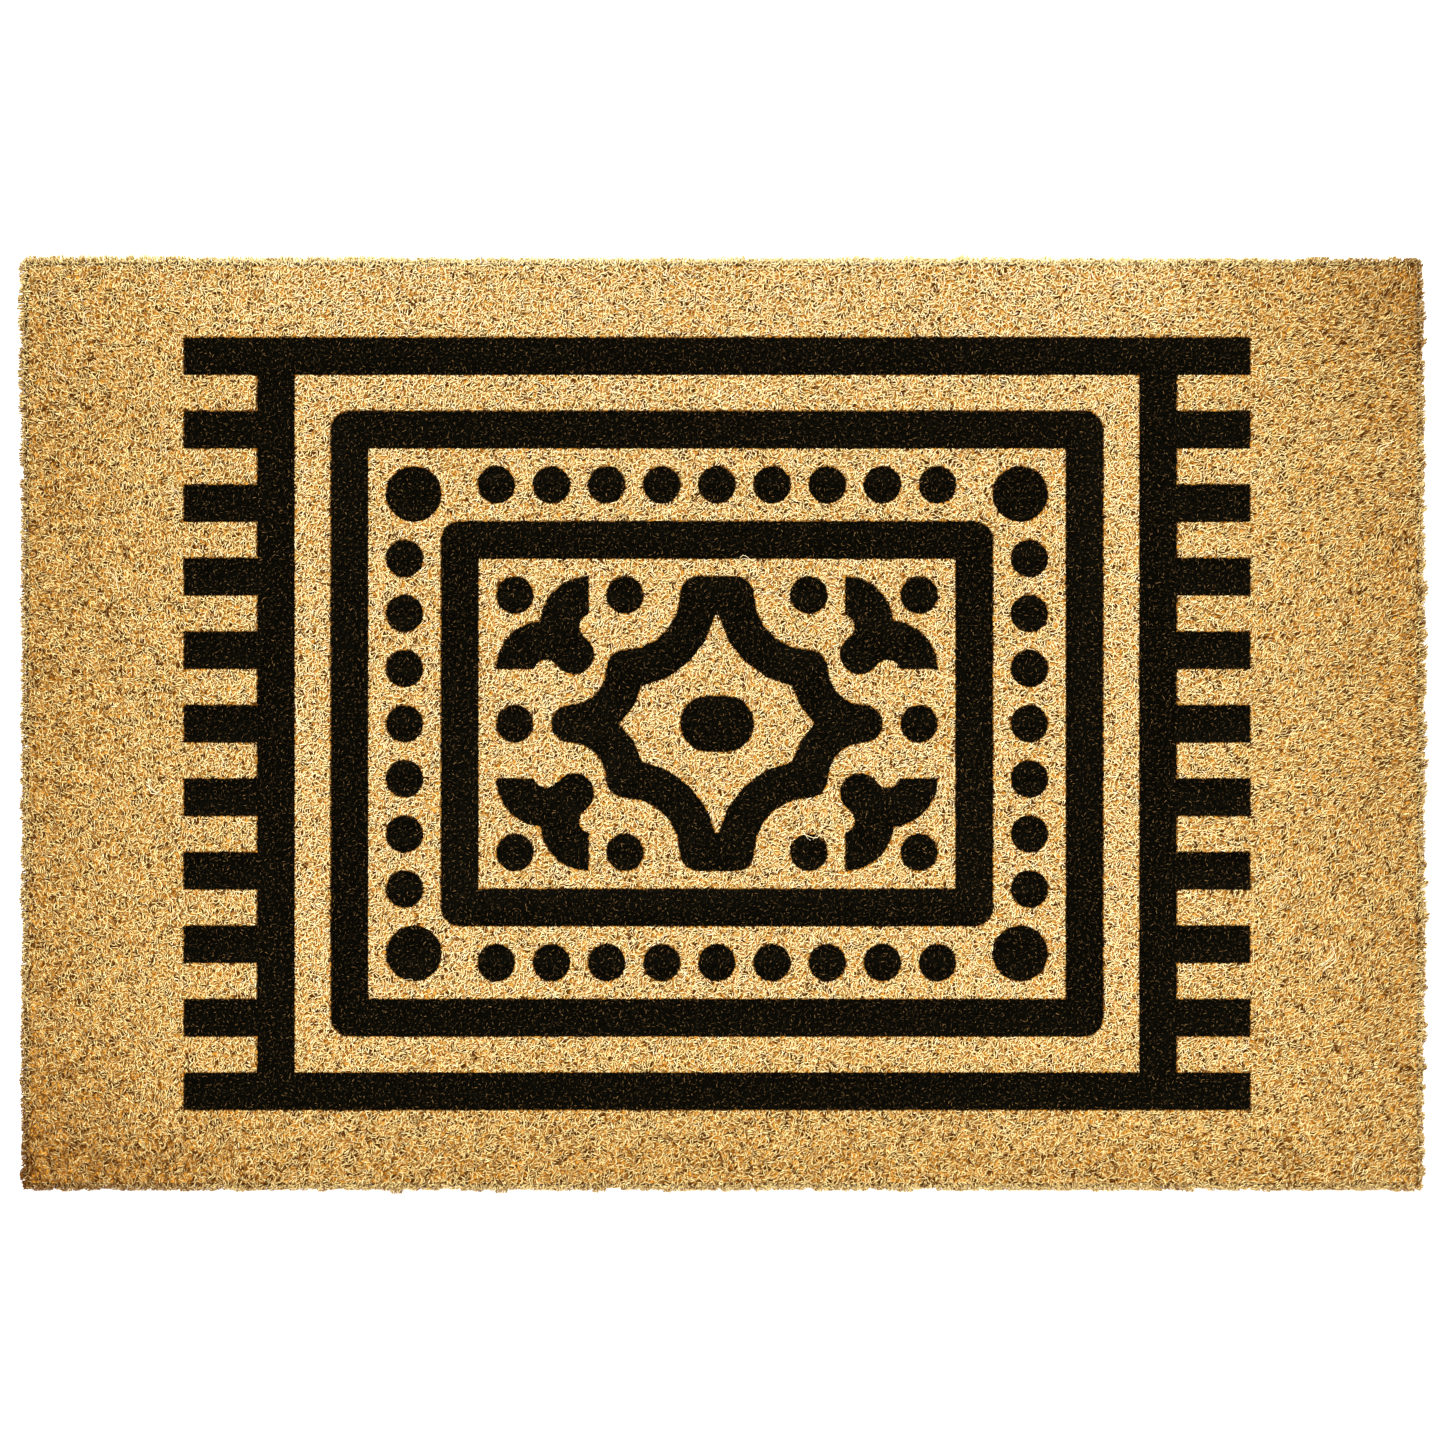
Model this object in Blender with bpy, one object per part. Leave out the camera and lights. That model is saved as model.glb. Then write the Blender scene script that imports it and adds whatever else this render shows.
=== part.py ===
"""Door mat: a cut pile of coconut fibre (coir) set in a PVC backing, with a pattern dyed into the pile.

The mat lies on the floor in the XY plane, +Z up. Its origin is at the bottom centre, and its long side
runs along X. The pattern is drawn on a grid of squares. Each of its figures is a group of dyed tufts
that stands in a pocket of the natural pile.
"""

import math

import bmesh
import bpy

# Driving dimensions, in metres
MAT_LENGTH = 0.914
MAT_WIDTH = 0.6065
MAT_CORNER_RADIUS = 0.004
BACKING_THICKNESS = 0.0025
BACKING_INSET = 0.0015  # the tufts splay this far past the cut edge of the backing
PILE_HEIGHT = 0.0122
DYE_DEPTH = 0.0045  # how far down the tufts the dye runs
CLEARANCE = 0.0003  # between two pieces that touch
PATTERN_END_MARGIN = 0.109  # natural pile beyond the pattern at each end
PATTERN_SIDE_MARGIN = 0.0514  # natural pile beyond the pattern along each side
PATTERN_OFFSET = (-0.0039, 0.0006)  # the pattern sits a little off the middle of the mat

# The pattern, in squares of its grid; a half size is measured from the middle of the pattern
OUTER_FRAME_HALF = (29.0, 21.0)
MIDDLE_FRAME_HALF = (21.0, 17.0)
INNER_FRAME_HALF = (15.0, 11.0)
FRAME_CORNER_RADIUS = 1.0
BAR_WIDTH = 2.0
FRINGE_LENGTH = 4.0
FRINGE_BAR_WIDTH = 2.0
FRINGE_BARS_BEYOND_MIDDLE = 5
DISC_RADIUS = 1.5
DOT_RADIUS = 1.0
DOT_PITCH = 3.0
DOTS_IN_ROW = 9
DOTS_IN_COLUMN = 7
INNER_DOT_PITCH = 6.0
FIELD_MARGIN = 1.0  # between the inner frame and what it holds
LOBE_RADIUS = 1.0  # the round corners of the medallion's outline
SMALL_BAY_RADIUS = 2.0  # the bays between those corners
BAND_WIDTH = 2.0  # across the medallion's band
CUSP_WIDTH = 0.1  # blunts the tip of the slit between two bays, which the dye fills
OVAL_SIZE = (4.0, 3.0)
LEAF_SPAN = 5.0  # side of the square that a pair of leaves fills
LEAF_RADIUS = 2.6
BULB_CENTRE = 0.78  # from both sides of that square
BULB_RADIUS = 1.07
BITE_CENTRE = (2.28, -0.2)  # of the round notch between leaf and bulb

# How the shapes are cut
ARC_STEP = 18.0  # degrees of arc to one straight side
CUT_OVER = 0.002  # how far a cutter stands above the pile

# Worked out from the sizes above
GRID = min(
    (MAT_LENGTH / 2 - PATTERN_END_MARGIN) / OUTER_FRAME_HALF[0],
    (MAT_WIDTH / 2 - PATTERN_SIDE_MARGIN) / OUTER_FRAME_HALF[1],
)
PILE_BOTTOM = BACKING_THICKNESS + CLEARANCE
PILE_TOP = PILE_BOTTOM + PILE_HEIGHT
DYE_BOTTOM = PILE_TOP - DYE_DEPTH
FRINGE_PITCH = (OUTER_FRAME_HALF[1] - FRINGE_BAR_WIDTH / 2) / FRINGE_BARS_BEYOND_MIDDLE
DOT_COLUMN_X = (MIDDLE_FRAME_HALF[0] - BAR_WIDTH + INNER_FRAME_HALF[0]) / 2
DOT_ROW_Y = (MIDDLE_FRAME_HALF[1] - BAR_WIDTH + INNER_FRAME_HALF[1]) / 2
FIELD_HALF = tuple(half - BAR_WIDTH - FIELD_MARGIN for half in INNER_FRAME_HALF)
INNER_DOT = tuple(half - DOT_RADIUS for half in FIELD_HALF)
LARGE_BAY = (INNER_DOT[0] - INNER_DOT_PITCH, INNER_DOT[1])
LARGE_BAY_RADIUS = LARGE_BAY[1] - 2 * LOBE_RADIUS - SMALL_BAY_RADIUS
SIDE_LOBE = (LARGE_BAY[0], LARGE_BAY[1] - LARGE_BAY_RADIUS - LOBE_RADIUS)
LEAVES_MIDDLE = (
    (SIDE_LOBE[0] + LOBE_RADIUS + FIELD_MARGIN + FIELD_HALF[0]) / 2,
    (SIDE_LOBE[1] + FIELD_HALF[1]) / 2,
)


# ---- Outlines: closed loops of (x, y) points, anticlockwise ----


def arc(centre, radius, start, end):
    """Points along an arc between two angles in degrees, both ends included."""
    sides = max(1, math.ceil(abs(end - start) / ARC_STEP - 1e-6))
    angles = [math.radians(start + (end - start) * i / sides) for i in range(sides + 1)]
    return [(centre[0] + radius * math.cos(a), centre[1] + radius * math.sin(a)) for a in angles]


def bearing(start, end):
    """The direction from one point to another, in degrees."""
    return math.degrees(math.atan2(end[1] - start[1], end[0] - start[0]))


def disc(radius):
    return arc((0, 0), radius, 0, 360)[:-1]


def rectangle(half, corner_radius=0.0):
    """A rectangle about the origin, with sharp or round corners."""
    x, y = half[0] - corner_radius, half[1] - corner_radius
    corners = (((x, y), 0), ((-x, y), 90), ((-x, -y), 180), ((x, -y), 270))
    if corner_radius == 0:
        return [corner for corner, _ in corners]
    return [p for corner, turn in corners for p in arc(corner, corner_radius, turn, turn + 90)]


def stadium(size):
    radius, reach = size[1] / 2, (size[0] - size[1]) / 2
    return arc((reach, 0), radius, -90, 90) + arc((-reach, 0), radius, 90, 270)


def all_round(quarter):
    """The whole loop of a shape symmetric about both axes, from its quarter in +X and +Y."""
    left = mirrored(quarter, -1, 1)
    return without_repeats(quarter + left + mirrored(quarter, -1, -1) + mirrored(quarter, 1, -1))


def mirrored(loop, x_sign, y_sign):
    """The loop turned over across an axis, or both, and still anticlockwise."""
    turned = [(x * x_sign, y * y_sign) for x, y in loop]
    return turned if x_sign == y_sign else turned[::-1]


def without_repeats(loop):
    return [point for i, point in enumerate(loop) if math.dist(point, loop[i - 1]) > 1e-6]


def grown(loop, distance):
    """The loop with every side moved outwards by a distance, or inwards if it is negative."""
    moved = []
    for before, point, after in zip(loop[-1:] + loop[:-1], loop, loop[1:] + loop[:1]):
        (ax, ay), (bx, by) = side_normal(before, point), side_normal(point, after)
        reach = distance / (1 + ax * bx + ay * by)
        moved.append((point[0] + (ax + bx) * reach, point[1] + (ay + by) * reach))
    return moved


def side_normal(start, end):
    length = math.dist(start, end)
    return (end[1] - start[1]) / length, (start[0] - end[0]) / length


def circles_meet(centre_a, radius_a, centre_b, radius_b):
    """The point where two circles cross, on the side nearer to the origin."""
    apart = math.dist(centre_a, centre_b)
    along = (radius_a**2 - radius_b**2 + apart**2) / (2 * apart)
    across = math.sqrt(radius_a**2 - along**2)
    ux, uy = (centre_b[0] - centre_a[0]) / apart, (centre_b[1] - centre_a[1]) / apart
    middle = (centre_a[0] + ux * along, centre_a[1] + uy * along)
    points = [(middle[0] - uy * s, middle[1] + ux * s) for s in (across, -across)]
    return min(points, key=lambda point: math.hypot(*point))


# ---- The shapes of the pattern, in squares: the outline first, then the opening if there is one ----


def fringed_frame():
    """The outermost frame: a bar along each side, and at each end a bar with a comb of short ones."""
    x, y = OUTER_FRAME_HALF
    root = x - FRINGE_LENGTH
    quarter = []
    for i in range(FRINGE_BARS_BEYOND_MIDDLE + 1):
        low = FRINGE_PITCH * i - FRINGE_BAR_WIDTH / 2
        high = low + FRINGE_BAR_WIDTH
        quarter += [(root, low), (x, low), (x, high), (root, high)]
    opening = rectangle((root - BAR_WIDTH, y - BAR_WIDTH))
    return [all_round(quarter[2:-1]), opening]


def plain_frame(half):
    opening = rectangle((half[0] - BAR_WIDTH, half[1] - BAR_WIDTH))
    return [rectangle(half, FRAME_CORNER_RADIUS), opening]


def medallion():
    """A band of even width round the middle, bent inwards round two bays in each quarter."""
    top_lobe = (LARGE_BAY[0] - LARGE_BAY_RADIUS - LOBE_RADIUS, LARGE_BAY[1])
    small_bay = (SIDE_LOBE[0] + LOBE_RADIUS + SMALL_BAY_RADIUS, SIDE_LOBE[1])
    end_lobe = (small_bay[0], small_bay[1] - SMALL_BAY_RADIUS - LOBE_RADIUS)
    outline = arc(end_lobe, LOBE_RADIUS, 0, 90)
    outline += arc(small_bay, SMALL_BAY_RADIUS, 270, 180)
    outline += arc(SIDE_LOBE, LOBE_RADIUS, 0, 90)
    outline += arc(LARGE_BAY, LARGE_BAY_RADIUS, 270, 180)
    to_middle = math.acos(max(0.0, -top_lobe[0]) / LOBE_RADIUS)
    outline += arc(top_lobe, LOBE_RADIUS, 0, math.degrees(to_middle))
    return [all_round(outline), star(small_bay)]


def star(small_bay):
    """The medallion's opening: the bays' arcs again, a band's width further in, with four cusps."""
    small, large = SMALL_BAY_RADIUS + BAND_WIDTH, LARGE_BAY_RADIUS + BAND_WIDTH
    side_cusp = (small_bay[0] - math.sqrt(small**2 - small_bay[1] ** 2), 0.0)
    meeting = circles_meet(LARGE_BAY, large, small_bay, small)
    slit_depth = BAND_WIDTH - LOBE_RADIUS
    slit_half = max(0.0, LARGE_BAY[0] - math.sqrt(large**2 - slit_depth**2))
    tip_half = math.hypot(slit_half, CUSP_WIDTH / 2)
    top_cusp = (tip_half, LARGE_BAY[1] - math.sqrt(large**2 - (LARGE_BAY[0] - tip_half) ** 2))
    side = arc(small_bay, small, bearing(small_bay, side_cusp), bearing(small_bay, meeting))
    top = arc(LARGE_BAY, large, bearing(LARGE_BAY, meeting), bearing(LARGE_BAY, top_cusp))
    return all_round(side + top)


def leaf_pair():
    """Two leaves that spread from a bulb, in a square from the origin, alike across its diagonal."""
    leaf_centre = (LEAF_SPAN - LEAF_RADIUS, 0.0)
    half_chord = math.sqrt(2 * LEAF_RADIUS**2 - leaf_centre[0] ** 2)
    notch = ((leaf_centre[0] + half_chord) / 2,) * 2
    bulb = (BULB_CENTRE, BULB_CENTRE)
    bite_radius = math.dist(bulb, BITE_CENTRE) - BULB_RADIUS
    leaf_end = (BITE_CENTRE[0] + math.sqrt(bite_radius**2 - BITE_CENTRE[1] ** 2), 0.0)
    to_bite = bearing(bulb, BITE_CENTRE)
    upper = arc(leaf_centre, LEAF_RADIUS, 0, bearing(leaf_centre, notch))
    lower = arc(bulb, BULB_RADIUS, -135, to_bite)
    lower += arc(BITE_CENTRE, bite_radius, to_bite + 180, bearing(BITE_CENTRE, leaf_end))
    loop = upper + across_diagonal(upper) + across_diagonal(lower) + lower
    return without_repeats(loop)


def across_diagonal(points):
    return [(y, x) for x, y in reversed(points)]


# ---- The figures of the pattern: a name, the name of a shape, and where it goes, in squares ----

SHAPES = {
    "outer_frame": fringed_frame(),
    "middle_frame": plain_frame(MIDDLE_FRAME_HALF),
    "inner_frame": plain_frame(INNER_FRAME_HALF),
    "medallion": medallion(),
    "oval": [stadium(OVAL_SIZE)],
    "disc": [disc(DISC_RADIUS)],
    "dot": [disc(DOT_RADIUS)],
}
CORNERS = {"back_left": (-1, 1), "back_right": (1, 1), "front_left": (-1, -1), "front_right": (1, -1)}
for corner, signs in CORNERS.items():
    SHAPES["leaves_" + corner] = [mirrored(leaf_pair(), *signs)]


def figures():
    """Every figure of the pattern, from the outer frame to the oval in the middle."""
    for name in ("outer_frame", "middle_frame", "inner_frame", "medallion", "oval"):
        yield name, name, (0.0, 0.0)
    disc_inset = DISC_RADIUS - DOT_RADIUS
    for corner, (x_sign, y_sign) in CORNERS.items():
        disc_at = (x_sign * (DOT_COLUMN_X - disc_inset), y_sign * (DOT_ROW_Y - disc_inset))
        leaf_x, leaf_y = (middle - LEAF_SPAN / 2 for middle in LEAVES_MIDDLE)
        leaf_at = (x_sign * leaf_x, y_sign * leaf_y)
        yield "disc_" + corner, "disc", disc_at
        yield "leaves_" + corner, "leaves_" + corner, leaf_at
    for side, y_sign in (("back", 1), ("front", -1)):
        for i in range(DOTS_IN_ROW):
            yield f"dot_{side}_{i + 1}", "dot", (spaced(i, DOTS_IN_ROW), y_sign * DOT_ROW_Y)
        for i, x in enumerate((-INNER_DOT[0], -LARGE_BAY[0], LARGE_BAY[0], INNER_DOT[0])):
            yield f"inner_dot_{side}_{i + 1}", "dot", (x, y_sign * INNER_DOT[1])
    for side, x_sign in (("left", -1), ("right", 1)):
        for i in range(DOTS_IN_COLUMN):
            yield f"dot_{side}_{i + 1}", "dot", (x_sign * DOT_COLUMN_X, spaced(i, DOTS_IN_COLUMN))
        yield f"inner_dot_{side}", "dot", (x_sign * INNER_DOT[0], 0.0)


def spaced(index, count):
    """Where one of a row of dots goes along it, counted from the row's middle."""
    return (index - (count - 1) / 2) * DOT_PITCH


# ---- Solids ----


def finish(name, colour, roughness):
    material = bpy.data.materials.new(name)
    material.use_nodes = True
    shader = material.node_tree.nodes["Principled BSDF"]
    shader.inputs["Base Color"].default_value = (*colour, 1)
    shader.inputs["Roughness"].default_value = roughness
    shader.inputs["Metallic"].default_value = 0.0
    material.diffuse_color = (*colour, 1)
    return material


def add_slab(mesh, loops, bottom, top):
    """Adds a flat solid to a bmesh: an outline with its openings, filled and raised to its thickness."""
    edges = []
    for loop in loops:
        corners = [mesh.verts.new((x, y, bottom)) for x, y in loop]
        edges += [mesh.edges.new(pair) for pair in zip(corners, corners[1:] + corners[:1])]
    filled = bmesh.ops.triangle_fill(mesh, edges=edges, use_beauty=True)
    faces = [item for item in filled["geom"] if isinstance(item, bmesh.types.BMFace)]
    raised = bmesh.ops.extrude_face_region(mesh, geom=faces)
    upper = [item for item in raised["geom"] if isinstance(item, bmesh.types.BMVert)]
    bmesh.ops.translate(mesh, verts=upper, vec=(0, 0, top - bottom))


def mesh_of(name, slabs):
    """A mesh of one or more flat solids, each given as (loops, bottom, top)."""
    working = bmesh.new()
    for loops, bottom, top in slabs:
        add_slab(working, loops, bottom, top)
    bmesh.ops.recalc_face_normals(working, faces=working.faces)
    mesh = bpy.data.meshes.new(name)
    working.to_mesh(mesh)
    working.free()
    return mesh


def add_piece(name, mesh, parent, at=(0.0, 0.0)):
    piece = bpy.data.objects.new(name, mesh)
    bpy.context.scene.collection.objects.link(piece)
    piece.parent = parent
    piece.location = (*at, 0.0)
    return piece


def add_empty(name, at, parent=None):
    empty = add_piece(name, None, parent, at)
    empty.empty_display_size = GRID
    return empty


def in_metres(loop, at=(0.0, 0.0)):
    return [((x + at[0]) * GRID, (y + at[1]) * GRID) for x, y in loop]


def build_backing(mat, material):
    half = (MAT_LENGTH / 2 - BACKING_INSET, MAT_WIDTH / 2 - BACKING_INSET)
    loops = [rectangle(half, MAT_CORNER_RADIUS)]
    mesh = mesh_of("pvc_backing", [(loops, 0.0, BACKING_THICKNESS)])
    mesh.materials.append(material)
    return add_piece("pvc_backing", mesh, mat)


def build_pattern(pattern, material):
    """One solid for each figure, as deep as the dye runs. Figures of one shape share its mesh."""
    meshes = {}
    for shape, loops in SHAPES.items():
        loops = [in_metres(loop) for loop in loops]
        meshes[shape] = mesh_of(shape, [(loops, DYE_BOTTOM, PILE_TOP)])
        meshes[shape].materials.append(material)
    for name, shape, (x, y) in figures():
        add_piece("print_" + name, meshes[shape], pattern, (x * GRID, y * GRID))


def build_pockets(pattern):
    """The cutter: every figure, larger all round by the clearance, in one mesh."""
    slabs = []
    for _, shape, at in figures():
        outline, *openings = (in_metres(loop, at) for loop in SHAPES[shape])
        loops = [grown(outline, CLEARANCE)] + [grown(loop, -CLEARANCE) for loop in openings]
        slabs.append((loops, DYE_BOTTOM - CLEARANCE, PILE_TOP + CUT_OVER))
    cutter = add_piece("pattern_pockets", mesh_of("pattern_pockets", slabs), pattern)
    cutter.hide_render = True
    cutter.display_type = "WIRE"
    return cutter


def build_pile(mat, cutter, material):
    loops = [rectangle((MAT_LENGTH / 2, MAT_WIDTH / 2), MAT_CORNER_RADIUS)]
    mesh = mesh_of("coir_pile", [(loops, PILE_BOTTOM, PILE_TOP)])
    mesh.materials.append(material)
    pile = add_piece("coir_pile", mesh, mat)
    pockets = pile.modifiers.new("pattern_pockets", "BOOLEAN")
    pockets.operation = "DIFFERENCE"
    pockets.solver = "EXACT"
    pockets.object = cutter
    return pile


def main():
    for existing in list(bpy.data.objects):
        bpy.data.objects.remove(existing, do_unlink=True)
    mat = add_empty("door_mat", (0.0, 0.0))
    pattern = add_empty("pattern", PATTERN_OFFSET, mat)
    build_backing(mat, finish("black_pvc", (0.025, 0.024, 0.023), 0.6))
    build_pattern(pattern, finish("dyed_coir", (0.009, 0.007, 0.005), 0.95))
    build_pile(mat, build_pockets(pattern), finish("natural_coir", (0.62, 0.40, 0.16), 0.9))
    bpy.context.view_layer.update()


main()
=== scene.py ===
# %% [markdown]
# # A coir door mat
#
# A coir mat is a brush. Short, stiff coconut fibres stand in a soft PVC sheet, and a machine shears them
# level. A black pattern is then pressed into the pile with a printing screen, so the dye has a crisp edge
# and colours only the top few millimetres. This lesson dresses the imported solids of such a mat: a vinyl
# sheet below, a dense pile above it, and one group of dyed tufts for each figure of the pattern.
#
# Everything is in metres, with +Z up and the mat lying on the floor. The solids give every size and place.

# %% Load the frame
import math

import bpy
import numpy as np
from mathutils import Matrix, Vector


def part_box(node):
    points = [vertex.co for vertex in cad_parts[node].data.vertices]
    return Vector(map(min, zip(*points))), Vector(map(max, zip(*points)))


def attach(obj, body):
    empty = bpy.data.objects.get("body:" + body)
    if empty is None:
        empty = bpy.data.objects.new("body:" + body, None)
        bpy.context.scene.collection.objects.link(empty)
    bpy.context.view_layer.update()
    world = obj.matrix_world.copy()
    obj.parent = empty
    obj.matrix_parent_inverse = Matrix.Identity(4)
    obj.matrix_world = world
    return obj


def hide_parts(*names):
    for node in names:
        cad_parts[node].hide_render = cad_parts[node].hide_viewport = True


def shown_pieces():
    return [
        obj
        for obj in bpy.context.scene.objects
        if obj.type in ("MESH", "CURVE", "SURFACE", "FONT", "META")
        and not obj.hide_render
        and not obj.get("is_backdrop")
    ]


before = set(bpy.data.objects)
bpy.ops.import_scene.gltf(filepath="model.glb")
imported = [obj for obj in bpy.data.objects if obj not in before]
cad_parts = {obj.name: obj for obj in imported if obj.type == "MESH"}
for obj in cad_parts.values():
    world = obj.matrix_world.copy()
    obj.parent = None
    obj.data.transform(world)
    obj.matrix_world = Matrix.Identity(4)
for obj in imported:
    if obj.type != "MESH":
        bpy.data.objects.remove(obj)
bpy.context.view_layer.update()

# %% [markdown]
# ## Sizes
#
# The backing and the pile are read from the frame, and every later step is worked out from them. The sizes
# of the fibres themselves are a craftsman's numbers, and each is named where it is first needed.

# %% Read the solids
BACKING_LOW, BACKING_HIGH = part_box("pvc_backing")
PILE_LOW, PILE_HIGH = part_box("coir_pile")
FIGURES = sorted(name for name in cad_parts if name.startswith("print_"))

MM = 0.001
PILE_TOP = PILE_HIGH.z
HALF_LENGTH = PILE_HIGH.x
HALF_WIDTH = PILE_HIGH.y
SAME_HEIGHT = 0.1 * MM  # points that are closer in height than this are level
print(len(FIGURES), "dyed figures in a pile", round((PILE_TOP - PILE_LOW.z) / MM, 1), "mm deep")

# %% [markdown]
# ## Two small helpers for modelling
#
# Blender's operators act on whatever is selected, and the frame arrives selected. So each step starts by
# selecting only the piece that is being worked on, and faces are picked in code by the way they face.

# %% Work on one piece, or on some of its faces
LEVEL = 0.9  # the upright part of the normal of a face that counts as level


def work_on(piece):
    """Makes a piece the only selected object, and the active one."""
    bpy.ops.object.select_all(action="DESELECT")
    piece.select_set(True)
    bpy.context.view_layer.objects.active = piece


def edit_faces(piece, wanted):
    """Opens a piece in edit mode with only the faces selected whose normal is wanted."""
    work_on(piece)
    bpy.ops.object.mode_set(mode="EDIT")
    bpy.ops.mesh.select_mode(type="FACE")
    bpy.ops.mesh.select_all(action="DESELECT")
    bpy.ops.object.mode_set(mode="OBJECT")
    for face in piece.data.polygons:
        face.select = wanted(face.normal)
    bpy.ops.object.mode_set(mode="EDIT")


def settle(piece):
    """Moves a finished piece's place, turn and scale into its mesh."""
    work_on(piece)
    bpy.ops.object.transform_apply(location=True, rotation=True, scale=True)


# %% [markdown]
# ## Shader sums as Python sums
#
# A material is a graph of nodes. Wrapping a socket in a small class lets a sum such as `1 - mask * 0.4` be
# written as Python writes it, and each operator adds its own Math node.

# %% Wrap a socket
class Strand:
    """A socket of a material's graph that can be added to, multiplied and so on."""

    def __init__(self, tree, socket):
        self.tree = tree
        self.socket = socket

    def node(self, kind, sockets, output=0, **settings):
        """Adds any node: its settings first, then the values or links of its sockets."""
        added = self.tree.nodes.new(kind)
        for name, value in settings.items():
            setattr(added, name, value)
        for name, value in sockets.items():
            if isinstance(value, Strand):
                self.tree.links.new(value.socket, added.inputs[name])
            else:
                added.inputs[name].default_value = value
        return Strand(self.tree, added.outputs[output])

    def sum_with(self, operation, first, second):
        """Adds the Math node of one operator."""
        return self.node("ShaderNodeMath", {0: first, 1: second}, operation=operation)

    def __add__(self, other):
        return self.sum_with("ADD", self, other)

    def __sub__(self, other):
        return self.sum_with("SUBTRACT", self, other)

    def __rsub__(self, other):
        return self.sum_with("SUBTRACT", other, self)

    def __mul__(self, other):
        return self.sum_with("MULTIPLY", self, other)

    __radd__ = __add__
    __rmul__ = __mul__

    def between(self, low, high):
        """0 below low, 1 above high, and a smooth rise from one to the other."""
        rise = {"Value": self, "From Min": low, "From Max": high}
        return self.node("ShaderNodeMapRange", rise, interpolation_type="SMOOTHSTEP")

    def ramp(self, stops):
        """A colour for each value, from stops of (value, colour)."""
        ramp = self.node("ShaderNodeValToRGB", {"Fac": self})
        elements = ramp.socket.node.color_ramp.elements
        for place, colour in stops[2:]:
            elements.new(place)
        for element, (place, colour) in zip(elements, stops):
            element.position = place
            element.color = colour
        return ramp


# %% [markdown]
# Colours are easiest to think of as a painter's swatch, in the 0 to 255 of a screen. A shader wants them in
# linear light, so one function converts them.

# %% Colours, and an empty material to fill
def swatch(red, green, blue):
    """A screen colour in linear light, with its alpha."""
    parts = [value / 255 for value in (red, green, blue)]
    linear = [part / 12.92 if part <= 0.04045 else ((part + 0.055) / 1.055) ** 2.4 for part in parts]
    return (*linear, 1.0)


def new_material(name, roughness):
    """A material with a Principled shader, and a strand to start its sums from."""
    material = bpy.data.materials.new(name)
    material.use_nodes = True
    tree = material.node_tree
    shader = tree.nodes["Principled BSDF"]
    shader.inputs["Roughness"].default_value = roughness
    return material, shader, Strand(tree, None)


def mixed(share, low, high):
    """A colour between two others, each of which is a swatch or a strand."""
    sockets = {"Factor": share, 6: low, 7: high}
    return share.node("ShaderNodeMix", sockets, output=2, data_type="RGBA")


def feed(shader, socket, strand):
    """Links a strand to a socket of the Principled shader."""
    strand.tree.links.new(strand.socket, shader.inputs[socket])


# %% [markdown]
# ## Camera, light and floor
#
# The mat is looked at from straight above, with its long side across the picture. A long lens far away keeps
# the pattern's bars parallel. The light is that of a white studio: an even glow from all round, and one
# broad lamp high at the back left, which draws the small shadows that make fibres read as fibres.

# %% Set up the camera
SENSOR = 36.0  # millimetres, as the lens
LENS = 85.0
MARGIN = 1.0305  # the width of the picture over the length of the mat
AIM = (-0.3 * MM, 1.4 * MM)  # the middle of the picture, from the middle of the mat
PICTURE_WIDTH = MARGIN * 2 * HALF_LENGTH
camera_data = bpy.data.cameras.new("camera")
camera_data.sensor_width = SENSOR
camera_data.lens = LENS
camera = bpy.data.objects.new("camera", camera_data)
bpy.context.scene.collection.objects.link(camera)
camera.location = (*AIM, PILE_TOP + PICTURE_WIDTH * LENS / SENSOR)
bpy.context.scene.camera = camera
bpy.context.scene.view_settings.view_transform = "Standard"
print("the camera hangs", round(camera.location.z, 3), "m above the floor")

# %% Light the studio
GLOW = 1.2
LAMP = 4.6
LAMP_SPREAD = math.radians(22)
LAMP_TURN = (math.radians(-23), math.radians(-13), 0)  # so that it shines from the back left
world = bpy.data.worlds.new("studio")
bpy.context.scene.world = world
world.use_nodes = True
world.node_tree.nodes["Background"].inputs["Color"].default_value = (1, 1, 1, 1)
world.node_tree.nodes["Background"].inputs["Strength"].default_value = GLOW

lamp_data = bpy.data.lights.new("broad_lamp", "SUN")
lamp_data.energy = LAMP
lamp_data.angle = LAMP_SPREAD
lamp = bpy.data.objects.new("broad_lamp", lamp_data)
lamp.rotation_euler = LAMP_TURN
bpy.context.scene.collection.objects.link(lamp)
print("glow", GLOW, "and lamp", LAMP)

# %% Lay the floor
FLOOR_SIZE = 8
FLOOR_GAP = 0.2 * MM  # keeps the floor clear of the backing's underside
bpy.ops.mesh.primitive_plane_add(size=FLOOR_SIZE, location=(0, 0, -FLOOR_GAP))
floor = bpy.context.object
floor.name = "studio_floor"
settle(floor)
white, white_shader, _ = new_material("studio_white", 0.8)
white_shader.inputs["Base Color"].default_value = (0.93, 0.93, 0.93, 1)
white_shader.inputs["Emission Color"].default_value = (1, 1, 1, 1)
white_shader.inputs["Emission Strength"].default_value = 0.5
floor.data.materials.append(white)
floor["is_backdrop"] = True
print("the floor is", floor.dimensions.x, "m wide")

# %% [markdown]
# ## The vinyl backing
#
# The fibres are held by a sheet of soft black PVC a few millimetres thick. It is cast flat, so its edges are
# slightly round and its underside has a fine pebbled skin. A box with the solid's own corners is enough to
# start from: edit mode rounds its upright corners, then its rims, and the skin is a bump in the material.

# %% Cast the backing
CORNER_RADIUS = 4.0 * MM
RIM_RADIUS = 0.5 * MM
RIM_INSET = 2 * MM  # a frame of faces that keeps the rounding of the rims off the flat middle


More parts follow.
